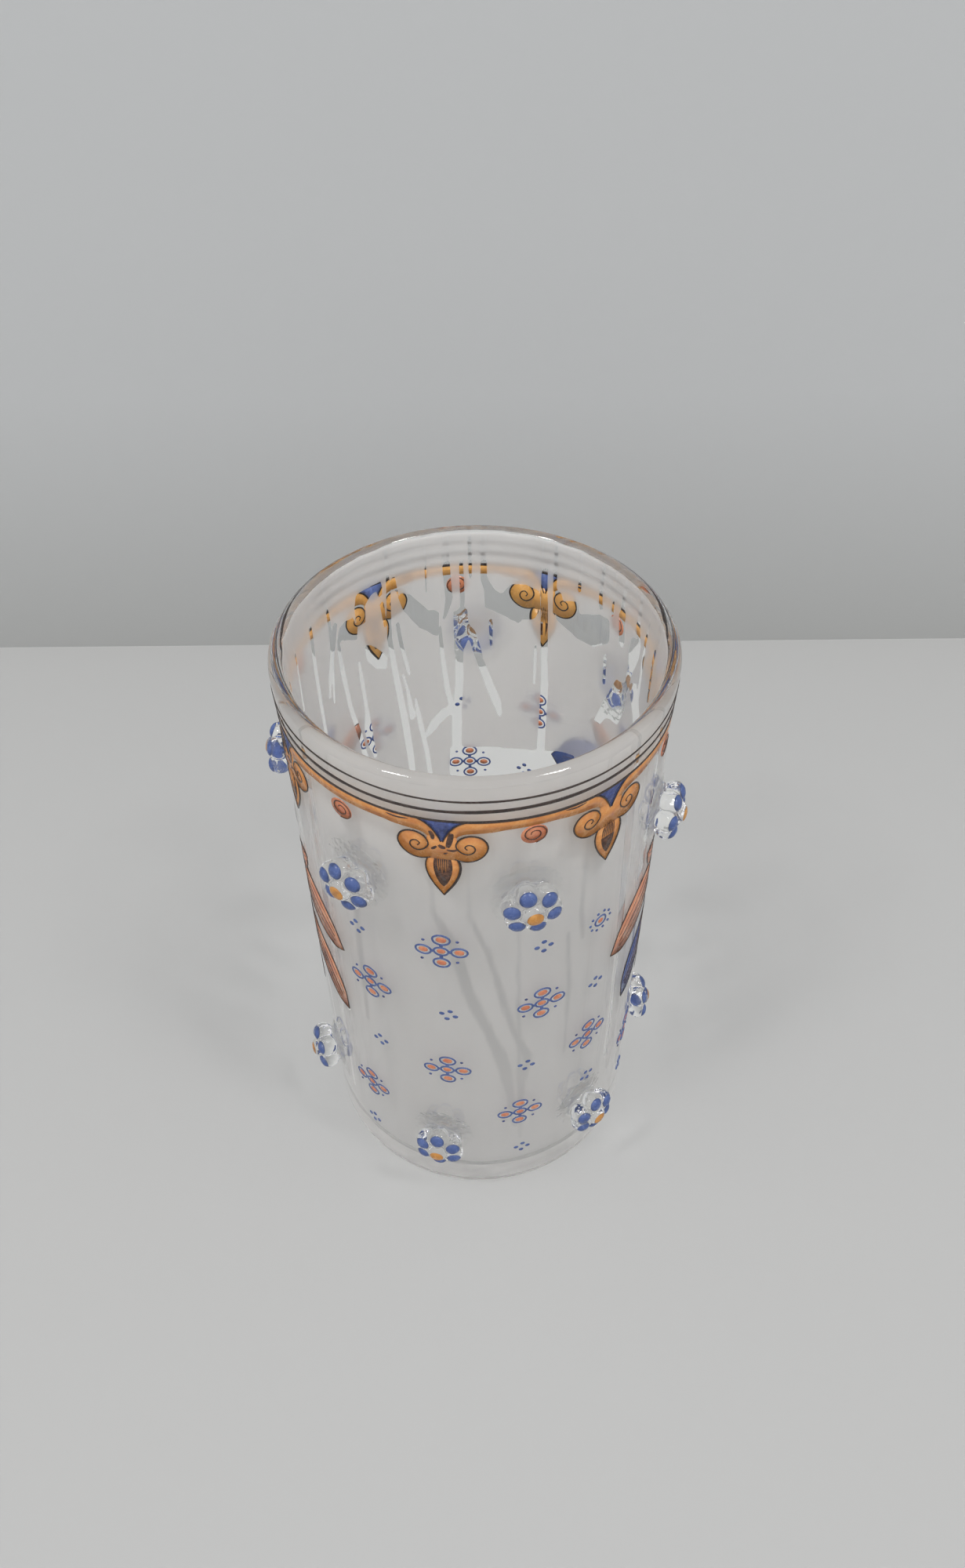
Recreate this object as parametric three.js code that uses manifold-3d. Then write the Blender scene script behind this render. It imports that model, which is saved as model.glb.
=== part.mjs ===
// A mouth-blown cylindrical glass beaker vase with two staggered rows of applied raspberry prunts.
// The vessel is one gather of glass. Each prunt is a blob of its own, laid on the hot wall and stamped
// with a seven-bead mould: six beads in a ring round a taller one.
// Millimetres, +Z up. The origin is the centre of the foot, on the surface that the vase stands on.
// Angles are degrees about +Z from -Y, the front, towards +X.
import * as THREE from "three";
import { mergeVertices } from "three/addons/utils/BufferGeometryUtils.js";
import Module from "manifold-3d";

// Driving dimensions of the vessel
const HEIGHT = 171.8;
const RIM_RADIUS = 46.25;
const NECK_RADIUS = 45.75;
const FOOT_RADIUS = 45;
const LIP_THICKNESS = 3.5;
const WALL_THICKNESS = 3.6;
const FLOOR_THICKNESS = 6;
const HEEL_RADIUS = 1.5;
const FLOOR_CORNER_RADIUS = 5;
const REST_RING_WIDTH = 5;
const PONTIL_RADIUS = 15;
const PONTIL_DEPTH = 1.2;
const LIP_RUN = 10;
const NECK_HEIGHT = HEIGHT - LIP_THICKNESS / 2 - LIP_RUN;

// Driving dimensions of a prunt: an oval pad, taller than wide, the beads that stand on it, and the core
// that fills the head between them. The centre bead is flatter than a ball by its squash.
const PAD_HALF_WIDTH = 7.6;
const PAD_HALF_HEIGHT = 8.8;
const PAD_THICKNESS = 2.3;
const PAD_EDGE_THICKNESS = 1.4;
const PAD_EDGE_RADIUS = 0.9;
const BEAD_RADIUS = 2.6;
const BEAD_RING_RADIUS = 4.4;
const RING_BEAD_LIFT = 3.1;
const CENTRE_BEAD_LIFT = 5.3;
const CENTRE_BEAD_SQUASH = 0.75;
const CORE_SHOULDERS = [
  { radius: 5.2, lift: 2 },
  { radius: 3.9, lift: 3.4 },
  { radius: 2.6, lift: 4.6 },
];
const RING_BEADS = 6;
const FUSING_GAP = 0.3;

// Where the prunts sit: the angle and height of the head's centre, how far the pad's centre lies above it,
// the turn of the stamp, and how much prouder than usual the head was drawn
const UPPER_PRUNTS = [
  { angle: 14, height: 134.7, padRise: 0.3, stamp: -14, proud: 0 },
  { angle: 70.7, height: 132, padRise: 0.6, stamp: -20, proud: 0 },
  { angle: 126, height: 134.2, padRise: 0.5, stamp: 10, proud: 0 },
  { angle: 180, height: 136.8, padRise: 0.4, stamp: 28, proud: 0.2 },
  { angle: 264, height: 133.8, padRise: 0.5, stamp: -9, proud: -0.1 },
  { angle: 323.4, height: 133.7, padRise: 0.8, stamp: -16, proud: 0.1 },
];
const LOWER_PRUNTS = [
  { angle: 346.3, height: 28, padRise: 1.4, stamp: -2, proud: 0.7 },
  { angle: 39.8, height: 29.8, padRise: 0.8, stamp: 0, proud: 1.1 },
  { angle: 92, height: 29, padRise: 0.8, stamp: 17, proud: 0.2 },
  { angle: 150, height: 29.4, padRise: 0.6, stamp: 8, proud: 0.3 },
  { angle: 220, height: 29.8, padRise: 0.6, stamp: -20, proud: 0.3 },
  { angle: 288, height: 29, padRise: 0.5, stamp: -21, proud: 0.5 },
];

// How finely curves are faceted
const VESSEL_SEGMENTS = 80;
const PAD_SEGMENTS = 24;
const BEAD_SEGMENTS = 9;
const BEAD_RINGS = 5;
const ARC_STEPS = 5;

const wasm = await Module();
wasm.setup();

const radians = THREE.MathUtils.degToRad;

const clearGlass = new THREE.MeshStandardMaterial({
  color: 0xdfe3e1,
  roughness: 0.08,
  metalness: 0,
  transparent: true,
  opacity: 0.45,
});

const pruntGlass = new THREE.MeshStandardMaterial({
  color: 0xe6eceb,
  roughness: 0.04,
  metalness: 0,
  transparent: true,
  opacity: 0.4,
});

// The radius of the outer wall at a height below the neck: straight, and a little narrower at the foot.
function wallRadius(z) {
  return FOOT_RADIUS + ((NECK_RADIUS - FOOT_RADIUS) * z) / NECK_HEIGHT;
}

// Points along an arc in the profile plane, ends included. Angles are degrees from +r towards +z.
function arc(r, z, radius, from, to, steps = ARC_STEPS) {
  return Array.from({ length: steps + 1 }, (_, i) => {
    const a = radians(from + ((to - from) * i) / steps);
    return new THREE.Vector2(r + radius * Math.cos(a), z + radius * Math.sin(a));
  });
}

// Turns a profile round +Z. It starts and ends on the axis and runs from the bottom outwards and up.
function turned(profile, segments) {
  const geometry = new THREE.LatheGeometry(profile, segments);
  geometry.rotateX(Math.PI / 2);
  return geometry;
}

// The closed profile of the vessel: underside, outer wall, flared and rounded lip, inner wall and floor.
function vesselProfile() {
  const heelCentre = FOOT_RADIUS - HEEL_RADIUS;
  const ringInner = heelCentre - REST_RING_WIDTH;
  const lipRadius = LIP_THICKNESS / 2;
  const floorWall = FLOOR_THICKNESS + FLOOR_CORNER_RADIUS;
  const innerFoot = wallRadius(floorWall) - WALL_THICKNESS;
  return [
    new THREE.Vector2(0, PONTIL_DEPTH),
    new THREE.Vector2(PONTIL_RADIUS, PONTIL_DEPTH),
    new THREE.Vector2(ringInner, 0),
    ...arc(heelCentre, HEEL_RADIUS, HEEL_RADIUS, -90, 0),
    new THREE.Vector2(NECK_RADIUS, NECK_HEIGHT),
    ...arc(RIM_RADIUS - lipRadius, HEIGHT - lipRadius, lipRadius, 0, 180, 2 * ARC_STEPS),
    new THREE.Vector2(NECK_RADIUS - WALL_THICKNESS, NECK_HEIGHT),
    ...arc(innerFoot - FLOOR_CORNER_RADIUS, floorWall, FLOOR_CORNER_RADIUS, 0, -90),
    new THREE.Vector2(0, FLOOR_THICKNESS),
  ];
}

// A geometry as a manifold-3d solid. Only its positions count.
function solidOf(geometry) {
  const bare = geometry.clone();
  bare.deleteAttribute("normal");
  bare.deleteAttribute("uv");
  const merged = mergeVertices(bare, 1e-4);
  return new wasm.Manifold(
    new wasm.Mesh({
      numProp: 3,
      vertProperties: merged.attributes.position.array,
      triVerts: new Uint32Array(merged.index.array),
    }),
  );
}

// A manifold-3d solid as a geometry.
function geometryOf(solid) {
  const { vertProperties, triVerts } = solid.getMesh();
  const geometry = new THREE.BufferGeometry();
  geometry.setAttribute("position", new THREE.BufferAttribute(vertProperties, 3));
  geometry.setIndex(new THREE.BufferAttribute(triVerts, 1));
  geometry.computeVertexNormals();
  return geometry;
}

// A block that fills the inside of the outer wall, a fusing gap proud of it, to a reach above and below
// a prunt's centre, which it counts heights from.
function wallBlock(height, reach) {
  const low = wallRadius(height - reach) + FUSING_GAP;
  const high = wallRadius(height + reach) + FUSING_GAP;
  return turned(
    [
      new THREE.Vector2(0, -reach),
      new THREE.Vector2(low, -reach),
      new THREE.Vector2(high, reach),
      new THREE.Vector2(0, reach),
    ],
    VESSEL_SEGMENTS,
  );
}

// The oval pad: slightly domed, round at its edge, and deep enough at the back to meet the curved wall.
function padGeometry(wall, rise) {
  const edge = PAD_HALF_WIDTH - PAD_EDGE_RADIUS;
  const pad = turned(
    [
      new THREE.Vector2(0, -PAD_HALF_WIDTH),
      new THREE.Vector2(PAD_HALF_WIDTH, -PAD_HALF_WIDTH),
      ...arc(edge, PAD_EDGE_THICKNESS - PAD_EDGE_RADIUS, PAD_EDGE_RADIUS, 0, 75, 3),
      new THREE.Vector2(edge / 2, PAD_THICKNESS - (PAD_THICKNESS - PAD_EDGE_THICKNESS) / 4),
      new THREE.Vector2(0, PAD_THICKNESS),
    ],
    PAD_SEGMENTS,
  );
  pad.scale(1, PAD_HALF_HEIGHT / PAD_HALF_WIDTH, 1);
  pad.rotateX(Math.PI / 2);
  pad.translate(0, -wall, rise);
  return pad;
}

// The glass that fills the head between the beads: a drum with sloping shoulders.
function coreGeometry(wall, proud) {
  const core = turned(
    [
      new THREE.Vector2(0, -PAD_HALF_WIDTH),
      new THREE.Vector2(CORE_SHOULDERS[0].radius, -PAD_HALF_WIDTH),
      ...CORE_SHOULDERS.map(({ radius, lift }) => new THREE.Vector2(radius, lift + proud)),
      new THREE.Vector2(0, CORE_SHOULDERS.at(-1).lift + proud),
    ],
    PAD_SEGMENTS,
  );
  core.rotateX(Math.PI / 2);
  core.translate(0, -wall, 0);
  return core;
}

// One bead of the raspberry, squashed towards the wall, lifted off it and set across it and up it.
function beadGeometry(wall, lift, across, up, squash = 1) {
  const bead = new THREE.SphereGeometry(BEAD_RADIUS, BEAD_SEGMENTS, BEAD_RINGS);
  bead.scale(1, squash, 1);
  bead.translate(across, -wall - lift, up);
  return bead;
}

// A whole prunt at the front of the vessel, its head's centre at height 0: the pad joined to the core and
// seven beads, and its back hollowed to the curve of the wall.
function pruntGeometry({ height, padRise, stamp, proud }) {
  const wall = wallRadius(height);
  const centreBead = beadGeometry(wall, CENTRE_BEAD_LIFT + proud, 0, 0, CENTRE_BEAD_SQUASH);
  let solid = solidOf(padGeometry(wall, padRise)).add(solidOf(coreGeometry(wall, proud)));
  solid = solid.add(solidOf(centreBead));
  for (let i = 0; i < RING_BEADS; i++) {
    const turn = radians(stamp + (360 * i) / RING_BEADS);
    const across = BEAD_RING_RADIUS * Math.sin(turn);
    const up = BEAD_RING_RADIUS * Math.cos(turn);
    solid = solid.add(solidOf(beadGeometry(wall, RING_BEAD_LIFT + proud, across, up)));
  }
  return geometryOf(solid.subtract(solidOf(wallBlock(height, 2 * PAD_HALF_HEIGHT))));
}

function addVessel(vase) {
  const vessel = new THREE.Mesh(turned(vesselProfile(), VESSEL_SEGMENTS), clearGlass);
  vessel.name = "vase_body";
  vase.add(vessel);
}

function addPruntRow(vase, row, placings) {
  placings.forEach((placing, i) => {
    const prunt = new THREE.Mesh(pruntGeometry(placing), pruntGlass);
    prunt.name = `${row}_prunt_${i + 1}`;
    prunt.rotation.z = radians(placing.angle);
    prunt.position.z = placing.height;
    vase.add(prunt);
  });
}

const vase = new THREE.Group();
addVessel(vase);
addPruntRow(vase, "upper", UPPER_PRUNTS);
addPruntRow(vase, "lower", LOWER_PRUNTS);

export default vase;
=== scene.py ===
import math

import bmesh
import bpy
import numpy as np
from mathutils import Matrix, Vector, noise


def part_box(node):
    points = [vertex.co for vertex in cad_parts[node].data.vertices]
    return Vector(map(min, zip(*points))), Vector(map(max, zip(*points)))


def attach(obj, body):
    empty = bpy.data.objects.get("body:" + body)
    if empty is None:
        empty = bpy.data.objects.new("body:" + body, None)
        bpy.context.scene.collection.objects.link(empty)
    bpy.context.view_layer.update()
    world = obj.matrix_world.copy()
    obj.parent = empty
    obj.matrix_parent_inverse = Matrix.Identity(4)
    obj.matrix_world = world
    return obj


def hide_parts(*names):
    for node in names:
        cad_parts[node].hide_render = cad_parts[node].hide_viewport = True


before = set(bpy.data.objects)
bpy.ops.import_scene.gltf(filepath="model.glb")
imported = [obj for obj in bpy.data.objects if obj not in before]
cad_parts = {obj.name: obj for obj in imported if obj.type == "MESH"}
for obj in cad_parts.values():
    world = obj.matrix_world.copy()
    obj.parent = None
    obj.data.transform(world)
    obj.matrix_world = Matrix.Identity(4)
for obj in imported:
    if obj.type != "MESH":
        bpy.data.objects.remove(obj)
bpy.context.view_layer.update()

# A blown glass beaker vase: satin-frosted inside with clear streaks, twelve clear raspberry prunts, and
# raised enamel on the outside. The helpers work in millimetres and degrees. Angles run about +Z from the
# front, -Y, towards +X. A motif's own coordinates are millimetres along the wall and up it.

METRES = 0.001

# Sizes of the vessel. The overall ones come from the CAD body.
BODY_LOW, BODY_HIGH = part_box("vase_body")
HEIGHT = BODY_HIGH.z / METRES
RIM_RADIUS = BODY_HIGH.x / METRES
NECK_RADIUS = 45.75
FOOT_RADIUS = 45.0
LIP_THICKNESS = 3.5
WALL_THICKNESS = 3.6
FLOOR_THICKNESS = 6.0
HEEL_RADIUS = 1.5
FLOOR_CORNER_RADIUS = 5.0
REST_RING_WIDTH = 5.0
PONTIL_RADIUS = 15.0
PONTIL_DEPTH = 1.2
LIP_RUN = 10.0
LIP_HEIGHT = HEIGHT - LIP_THICKNESS / 2
NECK_HEIGHT = LIP_HEIGHT - LIP_RUN

# How finely the vessel is drawn
AROUND = 640
FROST_ROW = 1.6

# Clear streaks: the depth inside an edge that counts as clear, how nearly they close above their top, and
# how far the inner wall lies back in them
ALL_CLEAR = 5.0
HALF_CLEAR = -0.06
STREAK_TOP = 161.6
GROOVE_DEPTH = 0.03

# Faint flutes inside: depth, number and turn of each kind, and the height over which they set in
FLUTES = ((0.05, 23, 40), (0.04, 37, 200))
FLUTE_RUN = 20.0
FLAT_FLOOR_RADIUS = 20.0

# The prunts: an oval pad, a core, and a ring of beads round a flatter one. Beads start a skin too large,
# because softening shrinks them.
PAD_HALF_WIDTH = 7.6
PAD_HALF_HEIGHT = 8.8
PAD_THICKNESS = 1.3
PAD_ROOT = 0.45
RING_BEADS = 6
BEAD_RADIUS = 2.65
BEAD_SKIN = 0.12
BEAD_RING_RADIUS = 4.4
RING_BEAD_LIFT = 3.1
CENTRE_BEAD_LIFT = 5.55
CENTRE_BEAD_SQUASH = 0.62
CORE_RADIUS = 5.3
CORE_HEIGHT = 3.8
CORE_LIFT = 0.6
PRUNT_SINK = 0.2
PRUNT_VOXEL = 0.3
SHARPEST_CREASE = 70
RIPPLE_DEPTH = 0.14
BROAD_WAVES = 420
FINE_WAVES = 1000

# The drops of enamel on the beads: reach over them in degrees, lean of the blue ones, and section, as
# shares of the reach with lifts
BLUE_DROP_REACH = 47
AMBER_DROP_REACH = 46
BLUE_DROP_LEAN = 0.35
DROP_SECTION = ((1, -0.3), (1, 0.02), (0.88, 0.13), (0.6, 0.19), (0.3, 0.2))

# Angle and height of each head, rise of its pad, turn of its stamp, and how much prouder it was drawn
UPPER_PRUNTS = (
    (14, 134.7, 0.3, -14, 0), (70.7, 132, 0.6, -20, 0), (126, 134.2, 0.5, 10, 0),
    (180, 136.8, 0.4, 28, 0.2), (264, 133.8, 0.5, -9, -0.1), (323.4, 133.7, 0.8, -16, 0.1),
)
LOWER_PRUNTS = (
    (346.3, 28, 1.4, -2, 0.7), (39.8, 29.8, 0.8, 0, 1.1), (92, 29, 0.8, 17, 0.2),
    (150, 29.4, 0.6, 8, 0.3), (220, 29.8, 0.6, -20, 0.3), (288, 29, 0.5, -21, 0.5),
)
PRUNTS = {f"upper_prunt_{i}": place for i, place in enumerate(UPPER_PRUNTS, 1)}
PRUNTS |= {f"lower_prunt_{i}": place for i, place in enumerate(LOWER_PRUNTS, 1)}

# Enamel: how far it sinks into the wall, and how far it stands off it
ENAMEL_SINK = 0.03
LINE_SINK = 0.06
FILL_HEIGHT = 0.1
LINE_HEIGHT = 0.17
DOT_HEIGHT = 0.22

# Heights of the border's layers, from the lowest up, and of the palmettes' leaves
BAND_LAYER = 0.08
VOLUTE_LAYER = 0.1
LEAF_LAYER = 0.12
ROOT_LAYER = 0.13
HEART_LAYER = 0.14
SHADE_LAYER = 0.15
PALMETTE_LAYER = 0.12
LAYER_STEP = 0.01

# The border under the rim: heights and widths of the lines, and the band's top, foot and ends
RIM_LINES = {"top": (166.6, 0.55), "middle": (163.5, 0.95), "lower": (160.4, 0.75)}
BAND_TOP = 160.4
BAND_FOOT = 157.6
BAND_END = 151.0
PENDANT_ANGLES = (-66, -9, 39, 97, 156, -144)
ROUNDEL_PLACES = ((-39, 154.2), (15.4, 155), (68, 154.6), (126, 154.8), (186, 154.4), (-105, 154.6))

# The scattered flowers: angle and height of each
ROSETTES = (
    (-10.8, 115.4), (-36.6, 92.2), (20.1, 91), (39.7, 64.7), (-10.9, 63.2), (-42.8, 38.6), (14.1, 39.8),
    (-177, 90.4), (156, 113.2), (-140, 110.5), (154, 62.6), (-146, 64.2), (-174, 40.4), (70, 38.4),
    (127, 39),
)
QUATREFOILS = (
    (19.8, 114.5), (-39.2, 113.1), (-9.5, 89.2), (-35.2, 66.4), (40.7, 88.1), (15.7, 63.7), (41.4, 42.2),
    (-44.3, 16.9), (15.2, 19.1), (70, 17.8), (-175, 113.5), (161.5, 89), (-149, 87), (-176, 65),
    (154, 42.5), (-146, 41), (-172, 17.5), (-105, 18), (126, 17.6),
)
RING_FLOWERS = ((39.9, 113.9),)

# Clear streaks in the frosting: (angle, height, half width) down each one
STREAKS = (
    ((-122, 170, 0.4), (-122.2, 154, 0.7), (-120.6, 143, 0.6), (-119.5, 134, 0.3)),
    ((-124.6, 157, 0.9), (-122.2, 150, 0.9), (-119.4, 144, 0.9), (-117.2, 137.5, 0.4)),
    ((-125.2, 150, 0.75), (-125.5, 143.5, 0.85), (-127.4, 129, 0.75), (-131.2, 114, 0.75), (-133, 100, 1.2),
     (-134, 85, 0.8)),
    ((-133.8, 141, 0.35), (-134.3, 134, 0.65), (-135.1, 124, 0.55), (-134.8, 117, 1.4), (-135.3, 112, 1.2),
     (-137.1, 105, 0.55)),
    ((-149.2, 170, 0.5), (-147.6, 143.4, 0.75), (-148.6, 134, 0.85), (-150.7, 117.5, 1),
     (-152.4, 102, 1), (-154, 75, 0.9)),
    ((-151.1, 147.5, 0.45), (-152, 140, 0.6), (-153.4, 134, 0.6), (-154.6, 128.5, 0.3)),
    ((-151.8, 130, 0.35), (-153.2, 124, 0.45), (-154.7, 113.5, 0.9)),
    ((-156.1, 120, 0.35), (-157, 113.5, 0.75), (-159.6, 98.5, 0.65), (-162, 70, 0.6)),
    ((-160.7, 106, 1), (-163.8, 109.5, 1.6), (-167.7, 112.5, 1.6), (-171.4, 113, 1.2)),
    ((-162.8, 170, 0.25), (-162.6, 154, 0.25)),
    ((-166.9, 143, 0.55), (-167.6, 132, 0.65), (-168.9, 120.5, 0.75), (-170.5, 114, 0.75)),
    ((-170.2, 170, 0.8), (-170, 161, 1), (-170.7, 151.5, 1), (-168.5, 145, 0.4)),
    ((-173.8, 132.5, 1.1), (-173.5, 123, 1.1), (-172.3, 111.5, 1.3), (-171.8, 98, 1.4)),
    ((-175.3, 170, 0.5), (-175.2, 161, 0.6), (-175.5, 151, 0.55), (-174, 140, 0.5)),
    ((-178.4, 170, 0.4), (-178.4, 161, 0.45), (-178.4, 157.5, 0.3)),
    ((-181.1, 131.5, 1), (-184.6, 123, 1.1), (-187.6, 116, 1.3), (-189.1, 111, 0.75)),
    ((-183, 170, 0.8), (-183.1, 157.5, 0.9), (-186, 152, 1.6), (-190, 149.5, 2.2), (-194, 147, 2),
     (-196, 145, 0.8)),
    ((157.7, 138.5, 0.4), (157.8, 124.5, 0.35)),
    ((155.5, 170, 0.9), (155, 150, 0.9), (154.5, 137, 0.9), (153.5, 126, 1.1), (154, 101, 1.2),
     (152.6, 70, 1)),
    ((151.7, 170, 0.5), (151.3, 161, 0.6), (150.9, 150, 0.5)),
    ((141.9, 170, 0.5), (141.7, 160, 0.55)),
    ((132.8, 170, 0.5), (132.6, 161, 0.6), (131.9, 158, 0.55)),
    ((127, 170, 0.3), (126.6, 158, 0.4)),
    ((128.2, 145, 0.55), (127.7, 136, 0.55)),
    ((121.9, 170, 0.6), (121.7, 161.5, 0.75), (121.4, 157, 1), (120.4, 152, 0.8)),
    ((112.8, 170, 0.8), (112.5, 161, 1), (110.9, 159, 1)),
    ((97.1, 170, 0.55), (98.2, 158, 0.65), (98.3, 146.5, 0.55)),
    ((50, 170, 0.4), (51, 140, 1.5), (53, 100, 1.2), (54, 40, 0.8)),
    ((-55, 170, 0.4), (-56, 140, 1.6), (-58, 90, 1.1), (-59, 20, 0.8)),
    ((-68, 170, 0.5), (-69, 150, 1.8), (-70, 120, 0.9), (-72, 60, 0.5)),
    ((63, 170, 0.4), (64, 148, 1.2), (64, 110, 2), (66, 84, 0.8)),
    ((76, 170, 0.4), (77, 150, 0.9), (80, 60, 1.3), (80, 25, 0.5)),
    ((-84, 170, 0.5), (-84, 140, 1.2), (-88, 80, 0.8)),
    ((-98, 170, 0.3), (-97, 128, 0.8), (-101, 60, 1.4), (-101, 30, 0.6)),
    ((-112, 170, 0.5), (-111, 150, 0.8), (-113, 100, 0.6)),
    ((106, 170, 0.4), (107, 140, 0.7), (109, 90, 1)),
)

# Streaks on the near side where the frosting is only thinner
FAINT_STREAKS = (
    ((-13.5, 166, 0.2), (-13, 127, 0.8), (-8.2, 118, 1.5), (-2.2, 94, 1.7), (3, 80, 1.5), (8.7, 63, 1.9),
     (13, 30, 1.1)),
    ((-2.8, 166, 0.2), (-2.3, 127, 0.6), (3.2, 113, 0.9), (11.4, 79, 1), (16.7, 65, 1.4), (14.9, 52, 1.4),
     (15, 22, 0.8)),
    ((11, 166, 0.2), (12.4, 119, 0.6), (14, 52, 0.8)),
    ((29.1, 114, 0.6), (30.7, 92, 0.8), (31, 60, 0.3)),
    ((33, 166, 0.3), (33.6, 121, 0.8), (34.8, 109, 0.6)),
    ((-38, 166, 0.3), (-39, 136, 0.6), (-41, 108, 1), (-42, 70, 0.6)),
)

# Larger clear patches, as outlines of (angle, height)
WINDOWS = (
    ((-151.7, 157), (-156.3, 155.5), (-163.2, 149), (-167, 148.5), (-166.5, 139.5), (-159.4, 144),
     (-153.6, 151)),
    ((-135.4, 161.5), (-146, 162), (-146.5, 160.5), (-142, 159.5), (-139, 157), (-138.6, 152), (-134.5, 152),
     (-134, 157.5)),
    ((-124.8, 152), (-126.3, 155), (-129.6, 156), (-133.2, 155.5), (-134.8, 152), (-134.2, 148)),
    ((-137, 145), (-140, 144), (-143, 141.5), (-146.3, 138), (-145.3, 134), (-141, 135.5), (-137.4, 140)),
    ((-144.8, 156), (-146.4, 156), (-147.3, 147.5), (-145.7, 147.5)),
    ((-144, 160.5), (-151.6, 162), (-152.1, 158), (-149.2, 158.5), (-149, 160.5), (-146.2, 160),
     (-146, 157.5), (-144.4, 158)),
    ((-172, 147.5), (-177, 148.5), (-177.5, 143), (-180, 140.5), (-182.8, 131.5), (-179.6, 131.5),
     (-177.4, 138), (-174.7, 133), (-172, 133)),
    ((-184.6, 145), (-186.3, 145), (-186.3, 133.5), (-185, 136)),
    ((177, 156), (170.6, 153), (167.3, 156.5), (162.2, 157), (157, 156), (156.2, 150.5), (158.4, 146.5),
     (166.2, 145), (176.7, 148.5)),
    ((152, 157.5), (148.7, 157.5), (147.6, 155), (142.3, 156.5), (141, 153), (132.3, 156), (127.5, 156.5),
     (126.8, 149.5), (134, 145), (141.6, 145), (150, 148.5)),
    ((156.5, 157.5), (154, 158.5), (152.7, 135.5), (155.6, 139)),
    ((123.4, 161), (120, 162), (118.8, 153), (122, 151.5)),
    ((115.3, 157.5), (109, 158.5), (109.4, 153.5), (112.8, 147), (114.8, 139), (115, 133.5), (118, 126.5),
     (124.8, 125.5), (128, 121), (130.7, 121.5), (127.5, 129), (124.2, 135.5), (121.5, 140.5), (116.4, 141.5),
     (115.6, 148), (116.2, 152.5)),
    ((114.5, 143), (109, 146), (103.3, 137.5), (108, 133.5)),
    ((-169, 99.2), (-177.2, 97.9), (-193, 98.2), (-202.5, 99.3), (-206, 100), (-213, 102.5), (-221, 104),
     (-224, 95), (-203, 82), (-188, 80), (-172, 82), (-168.5, 88)),
)


def wall_radius(z):
    """The outer wall: nearly upright, and flared a little above the neck."""
    return np.interp(z, (0, NECK_HEIGHT, LIP_HEIGHT), (FOOT_RADIUS, NECK_RADIUS, RIM_RADIUS))


def polar(radius, angle, z):
    """Points at these radii, angles and heights."""
    turn = np.radians(angle)
    return np.stack(np.broadcast_arrays(radius * np.sin(turn), -radius * np.cos(turn), z), axis=-1)


def on_wall(angle, across, z, lift):
    """Points so far along the wall from the angle, at these heights, lifted off it."""
    radius = wall_radius(z)
    return polar(radius + lift, angle + np.degrees(np.asarray(across, float) / radius), z)


def put(name, data):
    """A new object in the scene, with this mesh, lamp or camera."""
    made = bpy.data.objects.new(name, data)
    bpy.context.scene.collection.objects.link(made)
    return made


class Shell:
    """Points and faces that end up as one object."""

    def __init__(self, name, material):
        self.name = name
        self.material = material
        self.points = []
        self.faces = []

    def add(self, points, faces):
        start = len(self.points)
        self.points.extend(map(tuple, points))
        self.faces.extend(tuple(start + i for i in face) for face in faces)

    def add_tube(self, rows, closed=False):
        """Quads between rows of points that wrap round. The rows wrap too if closed, or get caps."""
        count, columns = len(rows), len(rows[0])
        faces = []
        for i in range(count if closed else count - 1):
            here, there = i * columns, (i + 1) % count * columns
            for j in range(columns):
                k = (j + 1) % columns
                faces.append((here + j, here + k, there + k, there + j))
        if not closed:
            faces.append(tuple(range(columns))[::-1])
            faces.append(tuple((count - 1) * columns + j for j in range(columns)))
        self.add(np.concatenate(rows), faces)

    def build(self):
        mesh = bpy.data.meshes.new(self.name)
        mesh.from_pydata([tuple(METRES * c for c in p) for p in self.points], [], self.faces)
        work = bmesh.new()
        work.from_mesh(mesh)
        bmesh.ops.recalc_face_normals(work, faces=work.faces)
        work.to_mesh(mesh)
        work.free()
        mesh.shade_smooth()
        mesh.materials.append(self.material)
        return put(self.name, mesh)


def smooth_path(points, step=0.6, closed=False):
    """A curve through the points, with a point about every step."""
    p = np.asarray(points, float)
    if closed:
        padded = np.vstack([p[-1], p, p[0], p[1]])
    else:
        padded = np.vstack([2 * p[0] - p[1], p, 2 * p[-1] - p[-2]])
    path = []
    for i in range(len(padded) - 3):
        a, b, c, d = padded[i : i + 4]
        parts = max(2, math.ceil(np.linalg.norm((c - b)[:2]) / step))
        for t in np.arange(parts) / parts:
            bend = (2 * a - 5 * b + 4 * c - d) * t**2 + (3 * b - a - 3 * c + d) * t**3
            path.append(0.5 * (2 * b + (c - a) * t + bend))
    if not closed:
        path.append(p[-1])
    return np.array(path)


def brush_section(height, edge, shoulder):
    """Offsets and lifts across a brush line, which is sunk in at its edges."""
    low = 0.75 * height
    return ((-edge, -LINE_SINK), (-shoulder, low), (0, height), (shoulder, low), (edge, -LINE_SINK))


def stroke(shell, angle, points, width, step=0.5, closed=False, taper=0.35, height=LINE_HEIGHT):
    """A brush line on the wall: rounded on top, and thinner towards open ends."""
    path = smooth_path(points, step, closed)
    ahead = np.roll(path, -1, axis=0) - np.roll(path, 1, axis=0)
    if not closed:
        ahead[0], ahead[-1] = path[1] - path[0], path[-1] - path[-2]
    side = np.stack([-ahead[:, 1], ahead[:, 0]], axis=1)
    side /= np.linalg.norm(side, axis=1)[:, None]
    along = np.linspace(0, 1, len(path))
    swell = np.ones(len(path)) if closed else taper + (1 - taper) * np.sin(np.pi * along) ** 0.5
    columns = []
    for offset, lift in brush_section(height, 0.5, 0.36):
        place = path + side * (offset * width * swell)[:, None]
        columns.append(on_wall(angle, place[:, 0], place[:, 1], lift))
    shell.add_tube(np.stack(columns, axis=1), closed)


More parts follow.
